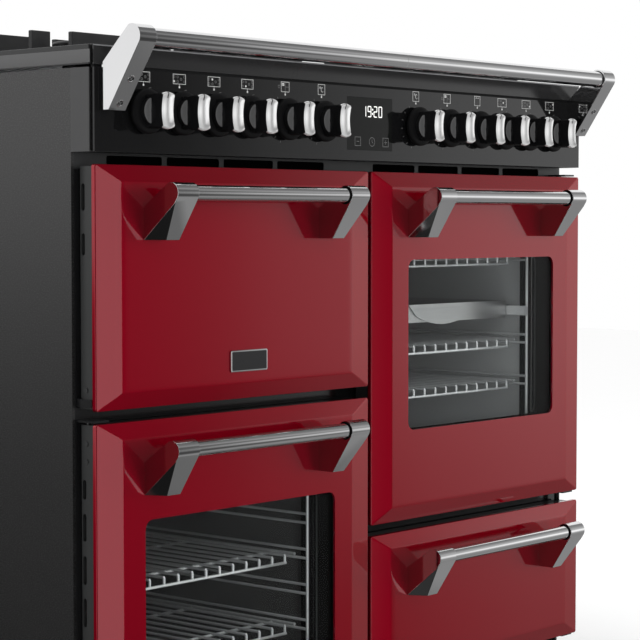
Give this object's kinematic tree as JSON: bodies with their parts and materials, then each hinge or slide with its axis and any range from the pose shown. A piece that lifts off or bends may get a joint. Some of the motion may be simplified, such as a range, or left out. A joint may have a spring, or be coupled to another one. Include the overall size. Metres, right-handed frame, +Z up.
{
  "type": "dual fuel range cooker",
  "caption": "Free-standing range cooker with hinged oven doors, a gas hob with pan supports, turn knobs along a fascia and a chromed rail.",
  "frame": {"origin": "middle of the cooker's footprint, rail included, on the floor", "axes": "+X along the width to the right as the user faces it, +Y from the doors to the back, +Z up"},
  "size_m": [1, 0.669, 0.933],
  "materials": {
    "body_paint": "satin black powder coat",
    "galvanised": "galvanised sheet",
    "black_enamel": "black vitreous enamel",
    "vent_black": "satin black paint",
    "housing_grey": "satin charcoal paint",
    "fascia_gloss": "gloss black enamel",
    "display_glass": "gloss black pane",
    "polished_chrome": "polished chrome",
    "hob_enamel": "gloss black enamel",
    "gas_brass": "machined brass",
    "burner_alloy": "cast, matt",
    "cap_enamel": "matt black enamel",
    "support_iron": "matt black enamelled",
    "oven_enamel": "dark speckled enamel",
    "light_enamel": "grey enamel",
    "shelf_wire": "chromed wire",
    "tin_steel": "satin steel",
    "element_sheath": "dull heat-stained steel",
    "seal_rubber": "matt silicone",
    "foot_plastic": "moulded",
    "red_enamel": "deep red gloss enamel",
    "liner_enamel": "grey-black enamel",
    "window_glass": "clear toughened glass",
    "spindle_steel": "turned",
    "knob_black": "satin black moulding with a bright grip"
  },
  "bodies": {
    "cooker": {"side_panels": "body_paint", "back_panel": "galvanised", "front_frame": "black_enamel", "base_frame": "body_paint", "plinth": "black_enamel", "levelling_feet": "foot_plastic", "vent_rail": "vent_black", "control_housing": "housing_grey", "fascia_panel": "fascia_gloss", "clock_display": "display_glass", "rail_bar": "polished_chrome", "rail_brackets": "polished_chrome", "hob_tray": "hob_enamel", "gas_manifold": "gas_brass", "burner_bodies": "burner_alloy", "burner_caps": "cap_enamel", "pan_supports": "support_iron", "grill_cavity": "oven_enamel", "main_oven_cavity": "oven_enamel", "tall_oven_cavity": "light_enamel", "slow_oven_cavity": "oven_enamel", "oven_racks": "shelf_wire", "oven_shelves": "shelf_wire", "roasting_tin": "tin_steel", "grill_element": "element_sheath", "fan_covers": "oven_enamel", "door_seals": "seal_rubber"},
    "grill_door": {"grill_door_skin": "red_enamel", "grill_door_liner": "liner_enamel", "grill_door_handle": "polished_chrome"},
    "main_door": {"main_door_skin": "red_enamel", "main_door_liner": "liner_enamel", "main_door_handle": "polished_chrome", "main_door_glass": "window_glass"},
    "tall_door": {"tall_door_skin": "red_enamel", "tall_door_liner": "liner_enamel", "tall_door_handle": "polished_chrome", "tall_door_glass": "window_glass"},
    "slow_door": {"slow_door_skin": "red_enamel", "slow_door_liner": "liner_enamel", "slow_door_handle": "polished_chrome"},
    "rear_left_tap": {"rear_left_spindle": "spindle_steel"},
    "front_left_tap": {"front_left_spindle": "spindle_steel"},
    "rear_mid_tap": {"rear_mid_spindle": "spindle_steel"},
    "front_mid_tap": {"front_mid_spindle": "spindle_steel"},
    "wok_tap": {"wok_spindle": "spindle_steel"},
    "front_right_tap": {"front_right_spindle": "spindle_steel"},
    "rear_right_tap": {"rear_right_spindle": "spindle_steel"},
    "rear_left_knob": {"rear_left_knob": "knob_black"},
    "front_left_knob": {"front_left_knob": "knob_black"},
    "rear_mid_knob": {"rear_mid_knob": "knob_black"},
    "front_mid_knob": {"front_mid_knob": "knob_black"},
    "wok_knob": {"wok_knob": "knob_black"},
    "front_right_knob": {"front_right_knob": "knob_black"},
    "rear_right_knob": {"rear_right_knob": "knob_black"},
    "main_function_knob": {"main_function_knob": "knob_black"},
    "main_heat_knob": {"main_heat_knob": "knob_black"},
    "tall_heat_knob": {"tall_heat_knob": "knob_black"},
    "tall_function_knob": {"tall_function_knob": "knob_black"},
    "grill_knob": {"grill_knob": "knob_black"}
  },
  "joints": [
    {"name": "grill_door_hinge", "type": "hinge", "parent": "cooker", "child": "grill_door", "pos_m": [-0.25, -0.2505, 0.488], "axis": [1, 0, 0], "range_deg": [0, 90]},
    {"name": "main_door_hinge", "type": "hinge", "parent": "cooker", "child": "main_door", "pos_m": [-0.483, -0.2385, 0.27], "axis": [0, 0, -1], "range_deg": [0, 95]},
    {"name": "tall_door_hinge", "type": "hinge", "parent": "cooker", "child": "tall_door", "pos_m": [0.483, -0.2385, 0.53], "axis": [0, 0, 1], "range_deg": [0, 95]},
    {"name": "slow_door_hinge", "type": "hinge", "parent": "cooker", "child": "slow_door", "pos_m": [0.483, -0.2385, 0.17], "axis": [0, 0, 1], "range_deg": [0, 95]},
    {"name": "rear_left_push", "type": "slide", "parent": "cooker", "child": "rear_left_tap", "axis": [0, 1, 0], "range_m": [0, 0.0035], "stiffness_N_per_m": 1000, "springref_m": -0.003},
    {"name": "rear_left_turn", "type": "hinge", "parent": "rear_left_tap", "child": "rear_left_knob", "pos_m": [-0.4185, -0.2855, 0.8301], "axis": [0, -1, 0], "range_deg": [0, 210]},
    {"name": "front_left_push", "type": "slide", "parent": "cooker", "child": "front_left_tap", "axis": [0, 1, 0], "range_m": [0, 0.0035], "stiffness_N_per_m": 1000, "springref_m": -0.003},
    {"name": "front_left_turn", "type": "hinge", "parent": "front_left_tap", "child": "front_left_knob", "pos_m": [-0.3587, -0.2855, 0.8301], "axis": [0, -1, 0], "range_deg": [0, 210]},
    {"name": "rear_mid_push", "type": "slide", "parent": "cooker", "child": "rear_mid_tap", "axis": [0, 1, 0], "range_m": [0, 0.0035], "stiffness_N_per_m": 1000, "springref_m": -0.003},
    {"name": "rear_mid_turn", "type": "hinge", "parent": "rear_mid_tap", "child": "rear_mid_knob", "pos_m": [-0.2989, -0.2855, 0.8301], "axis": [0, -1, 0], "range_deg": [0, 210]},
    {"name": "front_mid_push", "type": "slide", "parent": "cooker", "child": "front_mid_tap", "axis": [0, 1, 0], "range_m": [0, 0.0035], "stiffness_N_per_m": 1000, "springref_m": -0.003},
    {"name": "front_mid_turn", "type": "hinge", "parent": "front_mid_tap", "child": "front_mid_knob", "pos_m": [-0.2391, -0.2855, 0.8301], "axis": [0, -1, 0], "range_deg": [0, 210]},
    {"name": "wok_push", "type": "slide", "parent": "cooker", "child": "wok_tap", "axis": [0, 1, 0], "range_m": [0, 0.0035], "stiffness_N_per_m": 1000, "springref_m": -0.003},
    {"name": "wok_turn", "type": "hinge", "parent": "wok_tap", "child": "wok_knob", "pos_m": [0.2989, -0.2855, 0.8301], "axis": [0, -1, 0], "range_deg": [0, 210]},
    {"name": "front_right_push", "type": "slide", "parent": "cooker", "child": "front_right_tap", "axis": [0, 1, 0], "range_m": [0, 0.0035], "stiffness_N_per_m": 1000, "springref_m": -0.003},
    {"name": "front_right_turn", "type": "hinge", "parent": "front_right_tap", "child": "front_right_knob", "pos_m": [0.3587, -0.2855, 0.8301], "axis": [0, -1, 0], "range_deg": [0, 210]},
    {"name": "rear_right_push", "type": "slide", "parent": "cooker", "child": "rear_right_tap", "axis": [0, 1, 0], "range_m": [0, 0.0035], "stiffness_N_per_m": 1000, "springref_m": -0.003},
    {"name": "rear_right_turn", "type": "hinge", "parent": "rear_right_tap", "child": "rear_right_knob", "pos_m": [0.4185, -0.2855, 0.8301], "axis": [0, -1, 0], "range_deg": [0, 210]},
    {"name": "main_function_turn", "type": "hinge", "parent": "cooker", "child": "main_function_knob", "pos_m": [-0.1688, -0.2855, 0.8301], "axis": [0, 1, 0], "range_deg": [0, 300]},
    {"name": "main_heat_turn", "type": "hinge", "parent": "cooker", "child": "main_heat_knob", "pos_m": [-0.0985, -0.2855, 0.8301], "axis": [0, 1, 0], "range_deg": [0, 270]},
    {"name": "tall_heat_turn", "type": "hinge", "parent": "cooker", "child": "tall_heat_knob", "pos_m": [0.0985, -0.2855, 0.8301], "axis": [0, 1, 0], "range_deg": [0, 270]},
    {"name": "tall_function_turn", "type": "hinge", "parent": "cooker", "child": "tall_function_knob", "pos_m": [0.1688, -0.2855, 0.8301], "axis": [0, 1, 0], "range_deg": [0, 300]},
    {"name": "grill_turn", "type": "hinge", "parent": "cooker", "child": "grill_knob", "pos_m": [0.2391, -0.2855, 0.8301], "axis": [0, 1, 0], "range_deg": [0, 270]}
  ]
}
